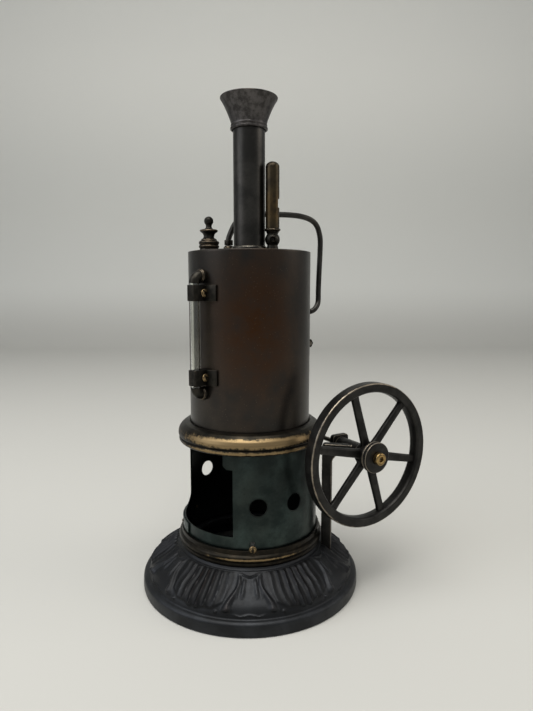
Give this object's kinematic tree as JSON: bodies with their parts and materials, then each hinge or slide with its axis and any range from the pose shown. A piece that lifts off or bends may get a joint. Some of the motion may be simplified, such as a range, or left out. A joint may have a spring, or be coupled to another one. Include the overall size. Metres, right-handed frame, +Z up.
{
  "type": "model steam engine",
  "caption": "Vertical model steam engine: boiler with chimney, whistle and water gauge on a cast round base, with an oscillating cylinder and a spoked flywheel.",
  "frame": {"origin": "on the surface that the base stands on, under the middle of the footprint that the base and the flywheel cover", "axes": "+Z up along the boiler; the shaft runs along Y with the flywheel at its -Y end and on the +X side of the boiler; the firebox door faces -X"},
  "size_m": [0.1632, 0.138, 0.3],
  "materials": {
    "cast_iron": "black japanned casting, worn",
    "blued_steel": "blued sheet with a grey bloom",
    "browned_copper": "deep brown oxidised copper",
    "old_brass": "patinated brass, rubbed bright on edges",
    "dark_brass": "dark brown brass patina",
    "steel": "dull bare steel",
    "gauge_glass": "clear tube"
  },
  "bodies": {
    "engine": {"base_collar": "old_brass", "base_shell": "cast_iron", "bearing_bracket": "cast_iron", "bearing_bush": "old_brass", "boiler_bottom_plate": "browned_copper", "boiler_ring": "old_brass", "boiler_shell": "browned_copper", "boiler_top_plate": "browned_copper", "bracket_foot_screw": "steel", "chimney_bell": "dark_brass", "chimney_flange": "dark_brass", "chimney_tube": "dark_brass", "collar_screw_front": "old_brass", "collar_screw_rear": "old_brass", "collar_screw_right": "old_brass", "cylinder_bracket": "cast_iron", "firebox_seam_rivet": "blued_steel", "firebox_seam_strip": "blued_steel", "firebox_shell": "blued_steel", "flue_tube": "browned_copper", "gauge_clamp_bottom": "blued_steel", "gauge_clamp_top": "blued_steel", "gauge_gland_bottom": "dark_brass", "gauge_gland_top": "dark_brass", "gauge_glass": "gauge_glass", "gauge_nut_bottom": "dark_brass", "gauge_nut_top": "dark_brass", "gauge_screw_bottom": "old_brass", "gauge_screw_top": "old_brass", "rear_bearing": "cast_iron", "rear_bearing_screw_left": "old_brass", "rear_bearing_screw_right": "old_brass", "safety_valve_body": "dark_brass", "steam_block": "dark_brass", "steam_pipe": "old_brass", "steam_pipe_lower_nut": "dark_brass", "steam_union": "dark_brass", "steam_union_nut": "dark_brass", "whistle_cock": "old_brass", "whistle_languid": "old_brass", "whistle_tube": "old_brass"},
    "crankshaft": {"crankshaft": "steel", "flywheel": "cast_iron", "drive_pulley": "cast_iron", "shaft_end_boss": "old_brass", "crank_disc": "cast_iron", "crank_pin": "steel"},
    "cylinder": {"cylinder": "old_brass", "cylinder_cover": "dark_brass", "cylinder_gland": "dark_brass", "pivot_pin": "steel", "pivot_nut": "dark_brass", "pivot_spring": "steel"},
    "piston": {"piston_rod": "steel", "big_end_screw": "old_brass"},
    "safety_valve": {"safety_valve_stem": "dark_brass", "safety_valve_nut": "old_brass", "safety_valve_spring": "steel"},
    "whistle_lever": {"whistle_lever": "dark_brass"}
  },
  "joints": [
    {"name": "flywheel_spin", "type": "hinge", "parent": "engine", "child": "crankshaft", "pos_m": [0.03745, 0, 0.0879], "axis": [0, 1, 0], "continuous": true},
    {"name": "cylinder_rock", "type": "hinge", "parent": "engine", "child": "cylinder", "pos_m": [0.03745, 0.019, 0.15], "axis": [0, 1, 0], "range_deg": [-7.4, 7.4]},
    {"name": "piston_slide", "type": "slide", "parent": "cylinder", "child": "piston", "axis": [0, 0, 1], "range_m": [0, 0.016]},
    {"name": "safety_valve_lift", "type": "slide", "parent": "engine", "child": "safety_valve", "axis": [0, 0, 1], "range_m": [0, 0.002], "stiffness_N_per_m": 150, "springref_m": -0.002, "deforming": ["safety_valve_spring"]},
    {"name": "whistle_lever_turn", "type": "hinge", "parent": "engine", "child": "whistle_lever", "pos_m": [-0.00285, -0.0112, 0.2168], "axis": [0.4909, 0.8712, 0], "range_deg": [0, 90]}
  ]
}
